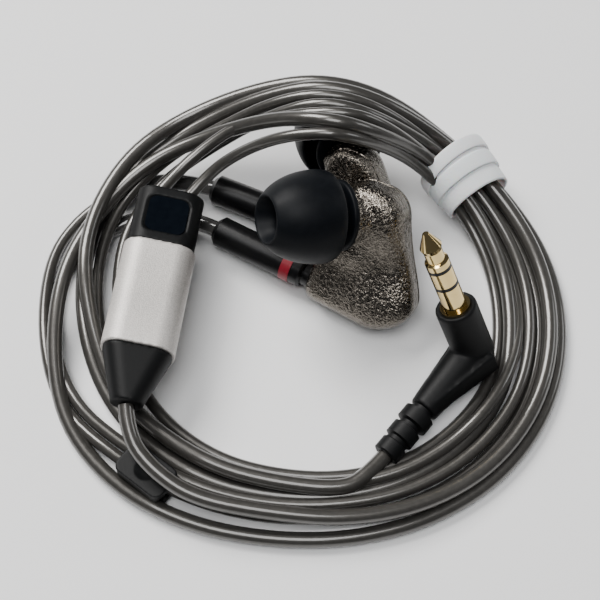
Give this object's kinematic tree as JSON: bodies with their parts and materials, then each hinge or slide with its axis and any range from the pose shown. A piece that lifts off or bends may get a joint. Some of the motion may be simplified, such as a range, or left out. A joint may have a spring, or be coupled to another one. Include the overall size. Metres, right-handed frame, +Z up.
{
  "type": "in-ear monitors",
  "caption": "Wired in-ear monitors with metal shells, silicone tips, a coiled cable, a Y-splitter and an angled 3.5 mm plug.",
  "frame": {"origin": "on the table under the middle of the two earpieces", "axes": "+Z up from the table, +Y away from the side the splitter taper and plug relief point to, +X towards the plug"},
  "size_m": [0.0793, 0.0738, 0.0253],
  "materials": {
    "shell_metal": "sintered titanium with a fine crinkled skin",
    "silicone": "blue-black silicone, satin",
    "black_plastic": "black moulded plastic",
    "soft_black": "soft-touch black plastic",
    "panel_black": "satin black inlay",
    "champagne_aluminium": "bead-blasted, pale champagne",
    "gold": "polished gold plating",
    "screen_steel": "fine steel screen and plates",
    "driver_brass": "plain brass",
    "magnet_metal": "nickel-plated magnet",
    "cloth": "acoustic cloth",
    "copper": "enamelled copper winding",
    "cone_film": "thin polymer film",
    "hook_sleeve": "dark translucent shrink sleeve",
    "cable_jacket": "taupe-grey jacket, soft sheen",
    "red_ring": "red",
    "dark_ring": "near black",
    "board": "glass-epoxy circuit board",
    "tie_foam": "white foam tape"
  },
  "bodies": {
    "cable": {"cable_coil": "cable_jacket", "right_branch_lead": "cable_jacket", "left_branch_lead": "cable_jacket", "main_lead": "cable_jacket", "plug_lead": "cable_jacket", "splitter_taper": "soft_black", "splitter_sleeve": "champagne_aluminium", "splitter_head": "soft_black", "splitter_panel": "panel_black", "splitter_board": "board", "cable_tie": "tie_foam", "plug_body": "soft_black", "plug_collar": "gold", "plug_relief": "soft_black", "plug_sleeve": "gold", "plug_ring": "gold", "plug_insulators": "black_plastic", "plug_core": "driver_brass", "plug_tip": "gold", "right_connector_pin": "gold", "right_connector_barrel": "black_plastic", "right_color_ring": "red_ring", "right_ear_hook": "hook_sleeve", "left_connector_pin": "gold", "left_connector_barrel": "black_plastic", "left_color_ring": "dark_ring", "left_ear_hook": "hook_sleeve"},
    "chin_slider": {"chin_slider": "soft_black"},
    "right_earpiece": {"right_shell_front": "shell_metal", "right_shell_cover": "shell_metal", "right_nozzle_mesh": "screen_steel", "right_nozzle_damper": "black_plastic", "right_driver_frame": "driver_brass", "right_driver_yoke": "screen_steel", "right_driver_magnet": "magnet_metal", "right_driver_gasket": "silicone", "right_vent_screen": "cloth", "right_socket": "gold"},
    "right_tip": {"right_ear_tip": "silicone"},
    "right_cone": {"right_diaphragm": "cone_film", "right_voice_coil": "copper"},
    "left_earpiece": {"left_shell_front": "shell_metal", "left_shell_cover": "shell_metal", "left_nozzle_mesh": "screen_steel", "left_nozzle_damper": "black_plastic", "left_driver_frame": "driver_brass", "left_driver_yoke": "screen_steel", "left_driver_magnet": "magnet_metal", "left_driver_gasket": "silicone", "left_vent_screen": "cloth", "left_socket": "gold"},
    "left_tip": {"left_ear_tip": "silicone"},
    "left_cone": {"left_diaphragm": "cone_film", "left_voice_coil": "copper"}
  },
  "joints": [
    {"name": "right_swivel", "type": "hinge", "parent": "cable", "child": "right_earpiece", "pos_m": [-0.00335, -0.0097, 0.00382], "axis": [0.8711, -0.4911, 0], "range_deg": [0, 30]},
    {"name": "left_swivel", "type": "hinge", "parent": "cable", "child": "left_earpiece", "pos_m": [-0.00345, -0.00075, 0.00362], "axis": [0.9099, -0.4149, 0], "range_deg": [-4, 0]},
    {"name": "right_tip_pull", "type": "slide", "parent": "right_earpiece", "child": "right_tip", "axis": [-0.8843, -0.2859, 0.3692], "range_m": [0, 0.008]},
    {"name": "left_tip_pull", "type": "slide", "parent": "left_earpiece", "child": "left_tip", "axis": [-0.3095, 0.8374, -0.4504], "range_m": [0, 0.008]},
    {"name": "chin_slide", "type": "slide", "parent": "cable", "child": "chin_slider", "axis": [0.788, -0.6157, 0], "range_m": [-0.002, 0.002]},
    {"name": "right_cone_stroke", "type": "slide", "parent": "right_earpiece", "child": "right_cone", "axis": [-0.4071, -0.7222, 0.5592], "range_m": [-0.00015, 0.00015], "stiffness_N_per_m": 10},
    {"name": "left_cone_stroke", "type": "slide", "parent": "left_earpiece", "child": "left_cone", "axis": [0.361, 0.7891, -0.497], "range_m": [-0.00015, 0.00015], "stiffness_N_per_m": 10}
  ]
}
